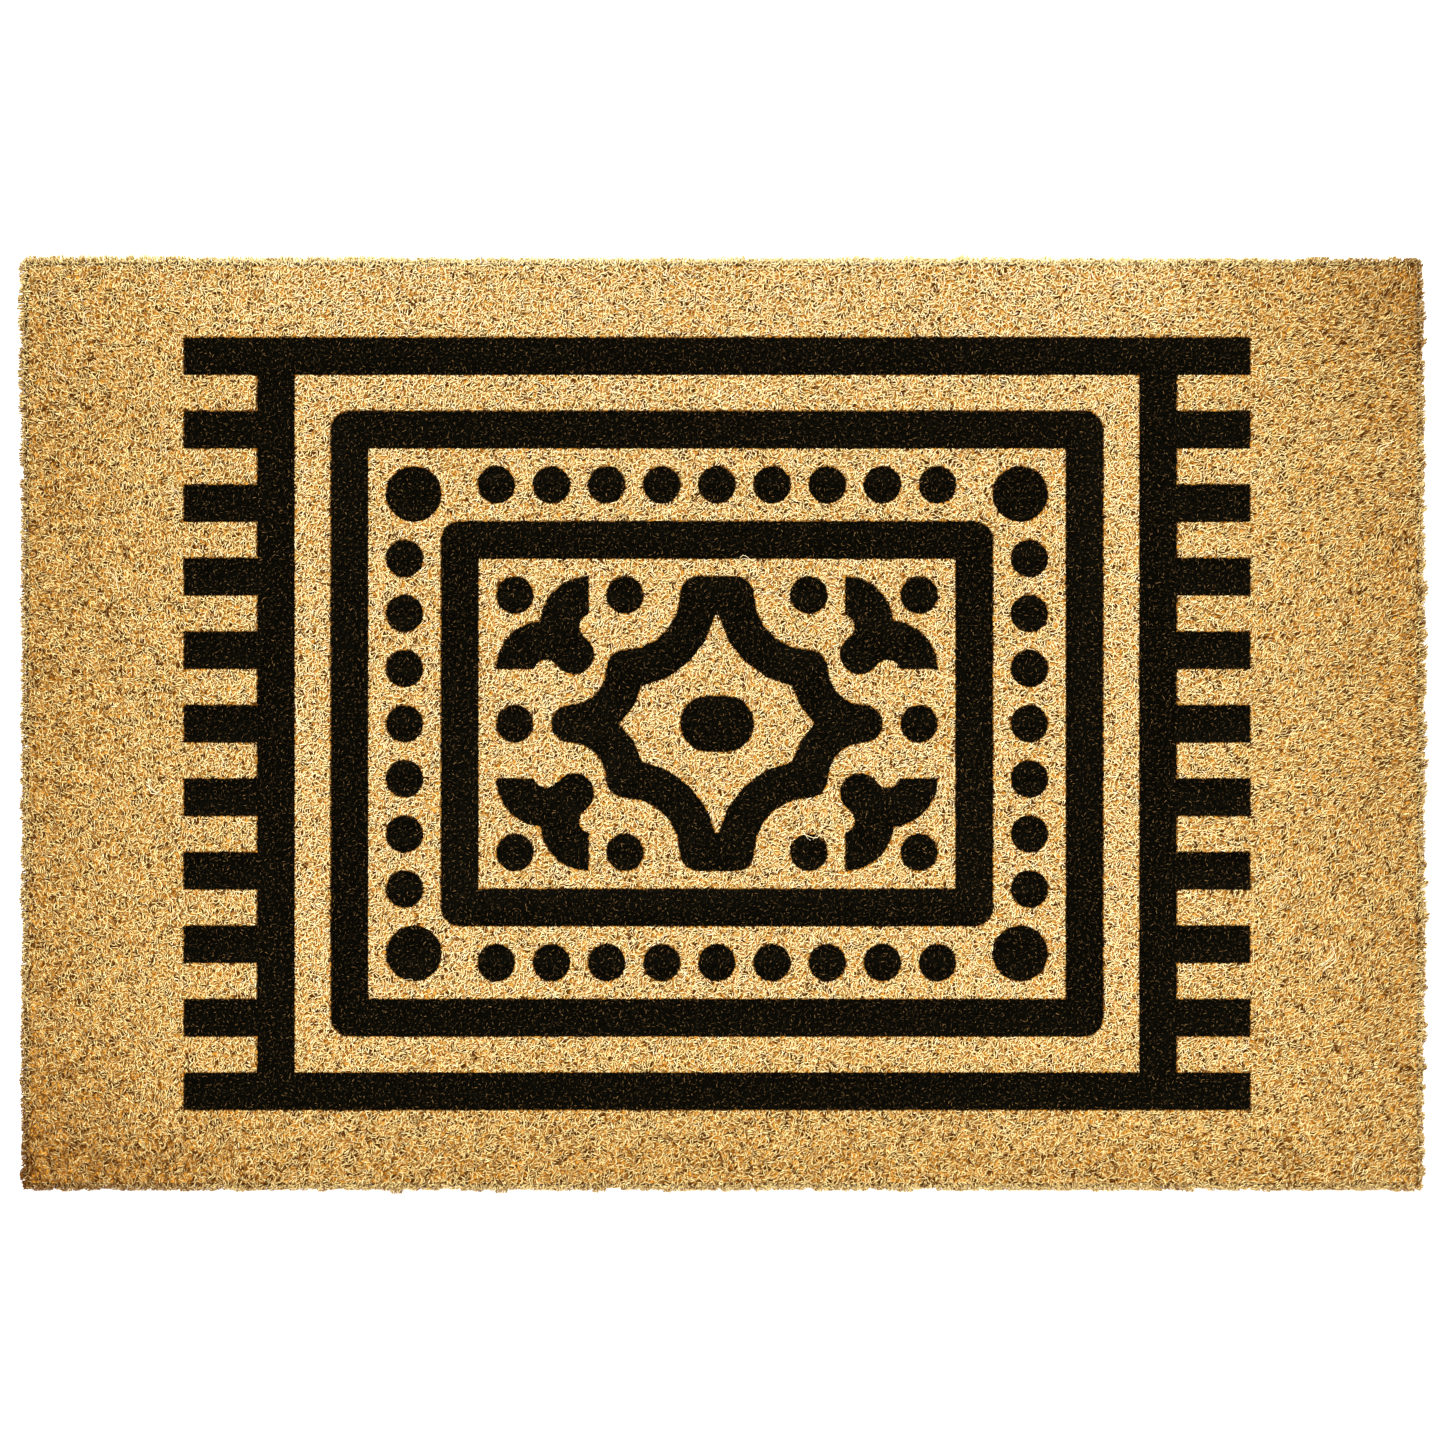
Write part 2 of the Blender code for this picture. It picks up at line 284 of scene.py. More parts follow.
def cast_backing():
    bpy.ops.object.select_all(action="DESELECT")
    middle = (BACKING_LOW + BACKING_HIGH) / 2
    bpy.ops.mesh.primitive_cube_add(size=1, location=middle, scale=BACKING_HIGH - BACKING_LOW)
    sheet = bpy.context.object
    sheet.name = "vinyl_backing"
    settle(sheet)
    rounded = sheet.modifiers.new("corners", "BEVEL")
    rounded.limit_method = "WEIGHT"
    rounded.width = CORNER_RADIUS
    rounded.segments = 6
    weights = sheet.data.attributes.new("bevel_weight_edge", "FLOAT", "EDGE")
    for edge in sheet.data.edges:
        low, high = (sheet.data.vertices[index].co for index in edge.vertices)
        weights.data[edge.index].value = 1.0 if abs(high.z - low.z) > SAME_HEIGHT else 0.0
    bpy.ops.object.modifier_apply(modifier="corners")
    edit_faces(sheet, lambda normal: abs(normal.z) > LEVEL)
    bpy.ops.mesh.inset(thickness=RIM_INSET)
    bpy.ops.object.mode_set(mode="OBJECT")
    rims = sheet.modifiers.new("rims", "BEVEL")
    rims.limit_method = "ANGLE"
    rims.angle_limit = math.radians(60)
    rims.width = RIM_RADIUS
    rims.segments = 3
    bpy.ops.object.modifier_apply(modifier="rims")
    bpy.ops.object.shade_smooth_by_angle(angle=math.radians(35))
    return sheet


backing = cast_backing()
print(backing.name, [round(side / MM, 1) for side in backing.dimensions], "mm")

# %% Finish the backing
def vinyl():
    material, shader, start = new_material("black_vinyl", 0.55)
    shader.inputs["Specular IOR Level"].default_value = 0.2
    place = start.node("ShaderNodeTexCoord", {}, output=3)
    pebbles = start.node("ShaderNodeTexVoronoi", {"Vector": place, "Scale": 900.0})
    wear = start.node("ShaderNodeTexNoise", {"Vector": place, "Scale": 22.0, "Detail": 4.0})
    colour = mixed(wear.between(0.35, 0.7), (0.010, 0.009, 0.008, 1), (0.022, 0.020, 0.018, 1))
    feed(shader, "Base Color", colour)
    feed(shader, "Roughness", wear * 0.25 + 0.45)
    bump = start.node("ShaderNodeBump", {"Height": pebbles, "Strength": 0.35, "Distance": 0.0004})
    feed(shader, "Normal", bump)
    return material


backing.data.materials.append(vinyl())
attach(backing, "root")
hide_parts("pvc_backing")

# %% [markdown]
# ## A chart of the pattern
#
# The dye stops at a sharp line, and fibres that lean across it are black on one side and straw on the
# other. To know on which side a point lies, the outline of each figure's flat top is drawn into a fine
# chart of the whole mat. Walking along a row, the chart adds a figure's number where the row enters it and
# takes it away where the row leaves, so one running total fills every figure, openings included. Wet dye
# creeps a little way along the fibres, so each figure is then widened evenly by half a millimetre or so.

# %% Find the outline of a figure
def outline_of(node):
    """The edges round the flat top of a solid, with the solid on the left of each."""
    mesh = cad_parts[node].data
    points = [tuple(round(part, 6) for part in vertex.co) for vertex in mesh.vertices]
    top = max(point[2] for point in points) - SAME_HEIGHT
    edges = set()
    for face in mesh.polygons:
        corners = [points[index] for index in face.vertices]
        if min(corner[2] for corner in corners) > top:
            edges.update(zip(corners, corners[1:] + corners[:1]))
    return sorted((start, end) for start, end in edges if (end, start) not in edges)


print("edges round the medallion:", len(outline_of("print_medallion")))

# %% Draw the chart
CELL = 0.2 * MM
CHART_MARGIN = 10 * MM
CHART_ORIGIN = (-HALF_LENGTH - CHART_MARGIN, -HALF_WIDTH - CHART_MARGIN)
CHART_SIZE = [int(-2 * low / CELL) + 1 for low in CHART_ORIGIN]


def draw_chart():
    """The number of the figure in each cell, or 0 where there is none."""
    chart = np.zeros((CHART_SIZE[1], CHART_SIZE[0]), np.int16)
    for number, node in enumerate(FIGURES, start=1):
        for start, end in outline_of(node):
            low, high = sorted((point[1] - CHART_ORIGIN[1]) / CELL - 0.5 for point in (start, end))
            rows = np.arange(math.ceil(low), math.ceil(high))
            if len(rows) == 0:
                continue
            along = ((rows + 0.5) * CELL + CHART_ORIGIN[1] - start[1]) / (end[1] - start[1])
            x = start[0] + along * (end[0] - start[0])
            columns = np.ceil((x - CHART_ORIGIN[0]) / CELL - 0.5).astype(int)
            np.add.at(chart, (rows, columns), number if end[1] < start[1] else -number)
    return np.cumsum(chart, axis=1, dtype=np.int16)


sharp_chart = draw_chart()
print("the chart has", CHART_SIZE[0], "columns and", CHART_SIZE[1], "rows")

# %% Let the dye creep
BLEED = 0.6 * MM


def bled(chart):
    """The chart after the wet dye has crept a little way out of every figure, evenly all round."""
    straight = [(0, 1), (0, -1), (1, 0), (-1, 0)]
    slanted = [(1, 1), (1, -1), (-1, 1), (-1, -1)]
    for step in range(round(BLEED / CELL)):
        neighbours = straight if step % 2 == 0 else straight + slanted
        chart = np.maximum.reduce([chart] + [np.roll(chart, shift, axis=(0, 1)) for shift in neighbours])
    return chart


CHART = bled(sharp_chart)
dyed_area = float((CHART > 0).sum()) * CELL**2
print("dyed share of the mat:", round(dyed_area / (4 * HALF_LENGTH * HALF_WIDTH), 3))

# %% Look a point up in the chart
def figure_at(points):
    """The number of the figure that each point lies on, or 0 on the natural pile."""
    columns = ((points[:, 0] - CHART_ORIGIN[0]) / CELL).astype(int)
    rows = ((points[:, 1] - CHART_ORIGIN[1]) / CELL).astype(int)
    columns = np.clip(columns, 0, CHART_SIZE[0] - 1)
    return CHART[np.clip(rows, 0, CHART_SIZE[1] - 1), columns]


print("figures in the chart:", len(np.unique(CHART)) - 1)

# %% [markdown]
# ## One fibre
#
# A fibre is modelled once. A slim three-sided cone with its tip cut off is enough for the short ends that
# cover the mat, since each is only about a millimetre wide. The long ones need a bow: rings are cut across
# them, and in edit mode the rings are pushed sideways onto an arc.

# %% Model a short fibre, a bent one and a curled one
TAPER = 0.72  # the width of the tip over that of the root


def straight_fibre():
    bpy.ops.object.select_all(action="DESELECT")
    bpy.ops.mesh.primitive_cone_add(vertices=3, radius1=1, radius2=TAPER, depth=1, location=(0, 0, 0.5))
    fibre = bpy.context.object
    fibre.name = "short_fibre"
    settle(fibre)
    return fibre


def bow(fibre, cuts, height):
    """Cuts rings across a fibre and pushes them sideways onto an arc, its height in half widths."""
    work_on(fibre)
    for number in range(1, cuts + 1):
        share = number / (cuts + 1)
        bpy.ops.object.mode_set(mode="EDIT")
        bpy.ops.mesh.select_all(action="SELECT")
        bpy.ops.mesh.bisect(plane_co=(0, 0, share), plane_no=(0, 0, 1))
        bpy.ops.transform.translate(value=(height * math.sin(math.pi * share), 0, 0))
        bpy.ops.object.mode_set(mode="OBJECT")
    return fibre


class Shape:
    """A modelled fibre as arrays, ready to be copied: along +Z from 0 to 1, and one unit in radius."""

    smooth = True

    def __init__(self, fibre):
        mesh = fibre.data
        self.points = np.array([vertex.co for vertex in mesh.vertices])
        self.corners = np.array([loop.vertex_index for loop in mesh.loops])
        self.starts = np.array([face.loop_start for face in mesh.polygons])
        self.totals = np.array([face.loop_total for face in mesh.polygons])
        bpy.data.objects.remove(fibre, do_unlink=True)


SHORT = Shape(straight_fibre())
BENT = Shape(bow(straight_fibre(), cuts=1, height=1.4))
CURLED = Shape(bow(straight_fibre(), cuts=5, height=8.0))
print("faces of a short, a bent and a curled fibre:", [len(shape.totals) for shape in (SHORT, BENT, CURLED)])

# %% [markdown]
# ## Many fibres
#
# Each copy runs from a root to a tip, so it needs two points, a thickness and a twist. All copies of a piece
# go into one mesh. The mesh also gets a map that works like a paint chart: across it runs the tone of the
# fibre, from brown to pale straw, and up it runs the height, from the shaded root to the sunlit tip.

# %% Lay out the paint chart
MAP_SPREAD = 0.004  # half the width of the strip of the paint chart that one fibre covers
MAP_ENDS = (0.02, 0.98)  # the part of the paint chart that the fibres use
SHADE_DEPTH = 5.2 * MM  # how far below the top of the pile the fibres are in full shade
RIM_SHADE_DEPTH = 22 * MM  # on the rim, where light comes in from the side


def height_share(z, shade_depth):
    """How high in the paint chart a point lies: 1 at the top of the pile, 0 in full shade."""
    return np.clip(1 - (PILE_TOP - z) / shade_depth, *MAP_ENDS)


print("a fibre is in full shade", round(SHADE_DEPTH / MM, 1), "mm below the top of the pile")

# %% Copy a shape from roots to tips
def across(axis, twist):
    """Two directions square to each fibre's axis, turned about it by its twist."""
    helper = np.where(np.abs(axis[:, 2:]) > 0.9, (1.0, 0, 0), (0, 0, 1.0))
    side = np.cross(axis, helper)
    side /= np.linalg.norm(side, axis=1, keepdims=True)
    other = np.cross(axis, side)
    cos, sin = np.cos(twist)[:, None], np.sin(twist)[:, None]
    return side * cos + other * sin, other * cos - side * sin


def grow(shape, roots, tips, thickness, twist, tone, shade_depth=SHADE_DEPTH):
    """Points and map of one copy of the shape for each fibre."""
    axis = tips - roots
    length = np.linalg.norm(axis, axis=1, keepdims=True)
    side, other = across(axis / length, twist)
    x, y, z = (shape.points[None, :, part, None] for part in range(3))
    width = thickness[:, None, None] / 2
    points = roots[:, None] + axis[:, None] * z + width * (x * side[:, None] + y * other[:, None])
    chart = np.empty((len(roots), len(shape.points), 2))
    turn = np.arctan2(shape.points[:, 1], shape.points[:, 0])
    chart[:, :, 0] = np.clip(tone, *MAP_ENDS)[:, None] + MAP_SPREAD * np.cos(turn)
    chart[:, :, 1] = height_share(points[:, :, 2], shade_depth) + MAP_SPREAD * np.sin(turn)
    return points.reshape(-1, 3), chart.reshape(-1, 2)


# %% Gather the copies in one mesh
def mesh_from(name, grown):
    """One mesh from several batches of (shape, points, map)."""
    points, corners, starts, totals, chart, smooth = [], [], [], [], [], []
    point_count = corner_count = 0
    for shape, batch, batch_chart in grown:
        copies = np.arange(len(batch) // len(shape.points))[:, None]
        own = (copies * len(shape.points) + shape.corners).ravel()
        points.append(batch)
        corners.append(own + point_count)
        chart.append(batch_chart[own])
        starts.append((copies * len(shape.corners) + shape.starts).ravel() + corner_count)
        totals.append(np.tile(shape.totals, len(copies)))
        smooth.append(np.full(len(copies) * len(shape.totals), shape.smooth))
        point_count += len(batch)
        corner_count += len(own)
    mesh = bpy.data.meshes.new(name)
    mesh.vertices.add(point_count)
    mesh.vertices.foreach_set("co", np.concatenate(points).astype(np.float32).ravel())
    mesh.loops.add(corner_count)
    mesh.loops.foreach_set("vertex_index", np.concatenate(corners).astype(np.int32))
    faces = np.concatenate(totals).astype(np.int32)
    mesh.polygons.add(len(faces))
    mesh.polygons.foreach_set("loop_start", np.concatenate(starts).astype(np.int32))
    mesh.polygons.foreach_set("loop_total", faces)
    mesh.polygons.foreach_set("use_smooth", np.concatenate(smooth))
    layer = mesh.uv_layers.new(name="OFBake")
    layer.data.foreach_set("uv", np.concatenate(chart).astype(np.float32).ravel())
    mesh.update(calc_edges=True)
    return mesh


# %% [markdown]
# ## The finishes of the fibres
#
# Coir is straw yellow where it is clean and brown where it is old, and each fibre has a tone of its own. The
# dye is a matt black that doesn't take everywhere: now and then a fibre stays brown. Both finishes read the
# paint chart, so a fibre's colour belongs to it alone and doesn't slide over its neighbours.

# %% Mix the paint of a fibre
FULL_SHADE = 0.15  # heights in the paint chart
NO_SHADE = 0.62


def coir(name, stops, root_shade, gloss):
    """A matt finish with a colour for each tone, which turns to the root's shade further down."""
    material, shader, start = new_material(name, 0.72)
    shader.inputs["Specular IOR Level"].default_value = gloss
    chart = start.node("ShaderNodeUVMap", {}, uv_map="OFBake")
    parts = chart.node("ShaderNodeSeparateXYZ", {"Vector": chart})
    height = Strand(parts.tree, parts.socket.node.outputs[1])
    colour = parts.ramp(stops)
    shaded = mixed(height.between(FULL_SHADE, NO_SHADE), root_shade, colour)
    feed(shader, "Base Color", shaded)
    return material


# %% Straw and dye
NATURAL_STOPS = [
    (0.0, swatch(96, 52, 3)),
    (0.25, swatch(173, 140, 86)),
    (0.5, swatch(224, 200, 132)),
    (0.75, swatch(238, 218, 168)),
    (1.0, swatch(245, 231, 199)),
]
DYED_STOPS = [
    (0.0, swatch(6, 6, 3)),
    (0.5, swatch(17, 15, 9)),
    (0.75, swatch(32, 26, 15)),
    (0.9, swatch(80, 60, 34)),
    (1.0, swatch(134, 102, 60)),
]
natural_coir = coir("natural_coir", NATURAL_STOPS, swatch(140, 86, 8), 0.04)
dyed_coir = coir("dyed_coir", DYED_STOPS, swatch(5, 4, 2), 0.0)
print("finishes:", natural_coir.name, dyed_coir.name)

# %% [markdown]
# ## The core of the pile
#
# Below the loose ends the fibres are packed so tightly that no light gets between them. That part is one
# solid block: a box, cut into small squares and roughened, a little smaller than the pile all round so that
# the outermost fibres stand in front of it. It is seen only through gaps in the pile, so its finish is the
# brown of shaded roots with a few paler ends. Each figure has a thin core of its own, made from its solid.

# %% Pack the core
CORE_TOP = PILE_TOP - 3.2 * MM  # the loose ends stand above this
CORE_INSET = 4.0 * MM
CORE_CUTS = 120
LUMP_SIZE = 6 * MM
LUMP_HEIGHT = 0.8 * MM


def pack_core():
    bpy.ops.object.select_all(action="DESELECT")
    size = (2 * (HALF_LENGTH - CORE_INSET), 2 * (HALF_WIDTH - CORE_INSET), CORE_TOP - PILE_LOW.z)
    middle = (0, 0, (CORE_TOP + PILE_LOW.z) / 2)
    bpy.ops.mesh.primitive_cube_add(size=1, location=middle, scale=size)
    core = bpy.context.object
    core.name = "coir_pile_core"
    settle(core)
    edit_faces(core, lambda normal: normal.z > LEVEL)
    bpy.ops.mesh.subdivide(number_cuts=CORE_CUTS)
    bpy.ops.object.mode_set(mode="OBJECT")
    lumps = bpy.data.textures.new("lumps", "CLOUDS")
    lumps.noise_scale = LUMP_SIZE
    lumpy = core.modifiers.new("lumps", "DISPLACE")
    lumpy.texture = lumps
    lumpy.texture_coords = "LOCAL"
    lumpy.direction = "Z"
    lumpy.strength = LUMP_HEIGHT
    group = core.vertex_groups.new(name="top")
    top = [vertex.index for vertex in core.data.vertices if vertex.co.z > CORE_TOP - SAME_HEIGHT]
    group.add(top, 1.0, "REPLACE")
    lumpy.vertex_group = "top"
    bpy.ops.object.modifier_apply(modifier="lumps")
    return core


core = pack_core()
print(core.name, len(core.data.polygons), "faces")

# %% Finish the core
def packed_coir():
    material, shader, start = new_material("packed_coir", 0.9)
    shader.inputs["Specular IOR Level"].default_value = 0.02
    place = start.node("ShaderNodeTexCoord", {}, output=3)
    ends = start.node("ShaderNodeTexNoise", {"Vector": place, "Scale": 700.0, "Detail": 2.0})
    tufts = start.node("ShaderNodeTexNoise", {"Vector": place, "Scale": 190.0, "Detail": 1.0})
    # painted shade: the core is painted the brown of shaded roots, darkest in the gaps between tufts, with a
    # few paler ends
    shaded_straw = mixed(ends.between(0.35, 0.68), swatch(104, 54, 2), swatch(190, 134, 48))
    colour = mixed(tufts.between(0.38, 0.5), swatch(66, 32, 2), shaded_straw)
    feed(shader, "Base Color", colour)
    return material


core.data.materials.append(packed_coir())
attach(core, "root")
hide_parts("coir_pile")


# %% [markdown]
# ## Where fibres grow, and how they lean
#
# The roots stand on a jittered grid, close enough that the ends overlap. Each end leans over by a few
# millimetres. Brushing and packing leave whole areas leaning one way: towards the right edge the fibres lie
# from lower left to upper right, towards the left edge they lie the other way and less evenly, and in the
# middle they point almost every way. Two gentle fields, made of a few long waves, steer the lean and the
# tone, as wind steers a wheat field.

# %% Waves that steer the lean and the tone
SEED = 11
PEAK = 1.6  # how many times its usual height a sum of many waves seldom passes
rng = np.random.default_rng(SEED)


class Waves:
    """A smooth random field over the mat, from about -1 to 1."""

    def __init__(self, shortest, longest, count):
        heading = rng.uniform(0, 2 * math.pi, count)
        number = 2 * math.pi / np.exp(rng.uniform(math.log(shortest), math.log(longest), count))
        self.steps = np.stack([np.cos(heading) * number, np.sin(heading) * number])
        self.starts = rng.uniform(0, 2 * math.pi, count)

    def at(self, points):
        heights = np.sin(points[:, :2] @ self.steps + self.starts).mean(axis=1)
        return heights * math.sqrt(2 * len(self.starts)) / PEAK


BLOTCHES = Waves(shortest=0.012, longest=0.07, count=24)
SWIRLS = Waves(shortest=0.05, longest=0.4, count=16)
print("two fields of", len(BLOTCHES.starts), "and", len(SWIRLS.starts), "waves")

# %% Scatter the fibres, and let them lean
LEAN = 42  # degrees from the long side, in the middle of the mat
LEAN_SPREAD = 1.05  # radians
SWIRL_TURN = 0.35


def scatter(pitch, inset):
    """Points on a jittered grid with every other row shifted by half a step."""
    columns = int(2 * (HALF_LENGTH - inset) / pitch)
    rows = int(2 * (HALF_WIDTH - inset) / pitch)
    x, y = np.meshgrid(np.arange(columns) + 0.5, np.arange(rows) + 0.5)
    x += np.where(np.arange(rows) % 2, 0.25, -0.25)[:, None]
    points = np.stack([x.ravel() / columns, y.ravel() / rows], axis=1) * 2 - 1
    points *= (HALF_LENGTH - inset, HALF_WIDTH - inset)
    return points + rng.uniform(-0.5, 0.5, points.shape) * pitch


def rise(values, start, run):
    """0 up to a start, 1 a run further on, and a straight rise between the two."""
    return np.clip((values - start) / run, 0, 1)


def lean_heading(points):
    """The heading in which each fibre leans, in radians. The lean turns and grows evener at both ends."""
    x = points[:, 0] / HALF_LENGTH
    rightness, leftness = rise(x, 0.55, 0.35), rise(-x, 0.55, 0.35)
    middle = np.radians(LEAN - 8 * rightness + 94 * leftness)
    spread = LEAN_SPREAD - 0.5 * rightness - 0.15 * leftness
    heading = middle + SWIRLS.at(points) * SWIRL_TURN + rng.normal(0, 1, len(points)) * spread
    return heading + np.where(rng.random(len(points)) < 0.5, math.pi, 0)


# %% Give each fibre a tone
CENTRE_TONE = 0.65
TONE_SPREAD = 0.115
HUSK_SHARE = 0.06  # of the fibres in the middle of the mat
HUSK_GROWTH = 0.35  # how fast that share grows where the pile's tone, painted shade included, is darker
HUSK_DARKNESS = (0.25, 0.6)  # how much darker than its neighbours a husk is
SIDE_PAINTED_SHADE = 0.27  # painted shade: how much darker than the middle the two ends are painted
FRONT_PAINTED_SHADE = 0.23
CORNER_PAINTED_SHADE = 0.075
DIAGONAL_PAINTED_SHADE = 0.118  # for the back right and the front left corner
FRONT_CORNER_PAINTED_SHADE = 0.065
BLOTCH_STRENGTH = 0.022


def own_tone(points):
    """Each fibre's own tone. A few are dark bits of husk, and more of them where the pile is darker, painted
    shade included.
    """
    count = len(points)
    tone = tone_and_painted_shade(points)
    share = HUSK_SHARE + HUSK_GROWTH * (CENTRE_TONE - tone)
    husk = np.where(rng.random(count) < share, rng.uniform(*HUSK_DARKNESS, count), 0)
    return tone + rng.normal(0, TONE_SPREAD, count) - husk


def tone_and_painted_shade(points):
    """The average tone of the pile with painted shade: palest in the middle, darker towards the sides, the
    front and the corners, with blotches of random tone.
    """
    x = points[:, 0] / HALF_LENGTH
    y = points[:, 1] / HALF_WIDTH
    side = rise(np.abs(x), 0.6, 0.4)
    front = rise(-y, 0.6, 0.35)
    corner = side * rise(np.abs(y), 0.6, 0.35)
    corner_painted_shade = CORNER_PAINTED_SHADE + DIAGONAL_PAINTED_SHADE * x * y - FRONT_CORNER_PAINTED_SHADE * y
    # painted shade: the sides, the front and the corners are painted darker, as if less light reached them
    painted_shade = np.maximum(SIDE_PAINTED_SHADE * side, FRONT_PAINTED_SHADE * front) + corner * corner_painted_shade
    return CENTRE_TONE - painted_shade + BLOTCH_STRENGTH * BLOTCHES.at(points)


centre_and_corner = np.array([(0, 0), (HALF_LENGTH, HALF_WIDTH)])
print("tone in the middle and in a corner:", tone_and_painted_shade(centre_and_corner).round(2))

# %% [markdown]
# ## Cutting fibres at the edge of the print
#
# A fibre that crosses the line of the print is cut there into a straw part and a dyed part, and each part
# keeps closed ends. The crossing is found by halving: look at the middle, keep the half whose ends still
# differ, and repeat. A few rounds bring it within a fraction of a fibre's width.

# %% Keep the part of each fibre that lies on one kind of pile
HALVINGS = 7
SHORTEST = 0.25 * MM  # a part that is shorter than this is dropped


def crossing(roots, tips):
    """How far along each fibre the print's edge lies, for fibres whose two ends differ."""
    low, high = np.zeros(len(roots)), np.ones(len(roots))
    kind = figure_at(roots) > 0
    for _ in range(HALVINGS):
        middle = (low + high) / 2
        same = (figure_at(roots + (tips - roots) * middle[:, None]) > 0) == kind
        low, high = np.where(same, middle, low), np.where(same, high, middle)
    return high[:, None]


def kept_part(roots, tips, dyed):
    """The fibres' parts on dyed or on natural pile, and which fibres they come from."""
    middle = (roots + tips) / 2
    root_in, middle_in, tip_in = ((figure_at(part) > 0) == dyed for part in (roots, middle, tips))
    tips = np.where((root_in & tip_in & ~middle_in)[:, None], middle, tips)
    roots = np.where((~root_in & ~tip_in & middle_in)[:, None], middle, roots)
    root_in, tip_in = ((figure_at(part) > 0) == dyed for part in (roots, tips))
    cut = root_in != tip_in
    edge = roots.copy()
    edge[cut] = roots[cut] + (tips[cut] - roots[cut]) * crossing(roots[cut], tips[cut])
    new_roots = np.where((cut & tip_in)[:, None], edge, roots)
    new_tips = np.where((cut & root_in)[:, None], edge, tips)
    long_enough = np.linalg.norm(new_tips - new_roots, axis=1) > SHORTEST
    which = np.flatnonzero((root_in | tip_in) & long_enough)
    return new_roots[which], new_tips[which], which


# %% Stand short fibres at some points
RUN = (2.5, 5.2)  # how far a fibre leans over, in millimetres, as the next two
ROOT_SINK = (0.2, 1.2)  # how deep in the core its root is
TIP_DROP = (0, 0.4, 2.4)  # how far below the top of the pile its tip is: least, usual and most


def ends_of(points):
    """Roots and tips of the short fibres that stand at some points."""
    count = len(points)
    heading = lean_heading(points)
    run = rng.uniform(*RUN, count) * MM
    step = np.stack([np.cos(heading), np.sin(heading)], axis=1) * run[:, None]
    roots, tips = np.empty((count, 3)), np.empty((count, 3))
    roots[:, :2] = points - step / 2
    tips[:, :2] = points + step / 2
    roots[:, 2] = CORE_TOP - rng.uniform(*ROOT_SINK, count) * MM
    tips[:, 2] = PILE_TOP - rng.triangular(*TIP_DROP, count) * MM
    return roots, tips


# %% [markdown]
# ## The ragged rim
#
# A mat is cut out of a wide roll, and its rim is ragged: the fibres hang together in tufts a few millimetres
# wide, some stand further out than others, and narrow notches open between them. Each side of the mat gets
# its own row of tufts, and one function says how far out the pile reaches at any point along it.

# %% Divide each side into tufts
TUFT = 6.0 * MM
DEEPEST_NOTCH = 4.2 * MM
BARE_RIM = 1.2 * MM  # no notch goes further in than this, where the rim of the backing would show
CORNER_RUN = 6 * MM
CORNER_DROP = 2.4 * MM


class Side:
    """One side of the mat: the way it faces, its tufts, and how far they reach out of the solid's edge.

    The crests of the tufts lie crest millimetres out, give or take ragged, and notch is the usual notch."""

    def __init__(self, name, outward, crest, ragged, notch, slant, shade, flare):
        self.name = name
        self.flare = [part * MM for part in flare]  # how much further out the two ends of the side lie
        self.slant = slant  # how far the tufts sweep along the side for each step outwards
        self.shade = shade  # painted shade: how much darker the rim is painted than the pile behind it
        self.outward = np.array(outward)
        self.onward = np.array([-outward[1], outward[0]])
        self.out = abs(self.outward @ (HALF_LENGTH, HALF_WIDTH))
        self.half = abs(self.onward @ (HALF_LENGTH, HALF_WIDTH))
        widths = rng.uniform(0.5, 1.5, round(2 * self.half / TUFT))
        self.ends = (np.concatenate([[0], np.cumsum(widths)]) / widths.sum() * 2 - 1) * self.half
        self.crests = rng.normal(crest, ragged, len(widths)) * MM
        self.notches = np.minimum(rng.exponential(notch, len(widths) + 1) * MM, DEEPEST_NOTCH)

    def place(self, points):
        """How far points lie out of the solid's edge, and how far along the side from its middle."""
        return points[:, :2] @ self.outward - self.out, points[:, :2] @ self.onward

    def reach(self, along):
        """How far out of the solid's edge the pile goes: round crests, and a sharp notch between tufts."""
        tuft = np.clip(np.searchsorted(self.ends, along) - 1, 0, len(self.crests) - 1)
        share = np.clip((along - self.ends[tuft]) / (self.ends[tuft + 1] - self.ends[tuft]), 0, 1)
        notch = self.notches[tuft + np.round(share).astype(int)]
        corner = np.clip(1 - (self.half - np.abs(along)) / CORNER_RUN, 0, 1)
        flare = np.interp(along / self.half, (-1, -0.5, 0.5, 1), (self.flare[0], 0, 0, self.flare[1]))
        reach = self.crests[tuft] + flare - notch * np.abs(2 * share - 1) ** 4 - CORNER_DROP * corner**2
        return np.maximum(reach, -BARE_RIM)


SIDES = [
    Side("front", (0, -1), crest=0.8, ragged=0.6, notch=0.9, slant=0.2, shade=0.12, flare=(0, 0)),
    Side("right", (1, 0), crest=1.9, ragged=1.0, notch=2.8, slant=0.8, shade=0.1, flare=(-1.2, -1.2)),
    Side("back", (0, 1), crest=1.8, ragged=0.6, notch=0.9, slant=-0.3, shade=0.05, flare=(-0.6, 1.8)),
    Side("left", (-1, 0), crest=1.3, ragged=0.6, notch=1.1, slant=0.3, shade=0.14, flare=(2.0, 0)),
]
print({side.name: len(side.crests) for side in SIDES}, "tufts")

# %% [markdown]
# ## The natural pile
#
# Most of the mat is undyed straw. All its fibres could be one piece, but that would be too heavy to handle,
# so they are grown together and then shared out over ten strips from left to right. Ends that would pass
# the ragged rim are brought back inside it first.

# %% Turn a mesh into a piece of the mat
def ride_as(name, mesh, material, slot, *nodes):
    """A piece that stands in for some solids, with its finish."""
    piece = bpy.data.objects.new(name, mesh)
    bpy.context.scene.collection.objects.link(piece)
    piece.data.materials.append(material)
    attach(piece, "root")
    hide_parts(*nodes)
    return piece


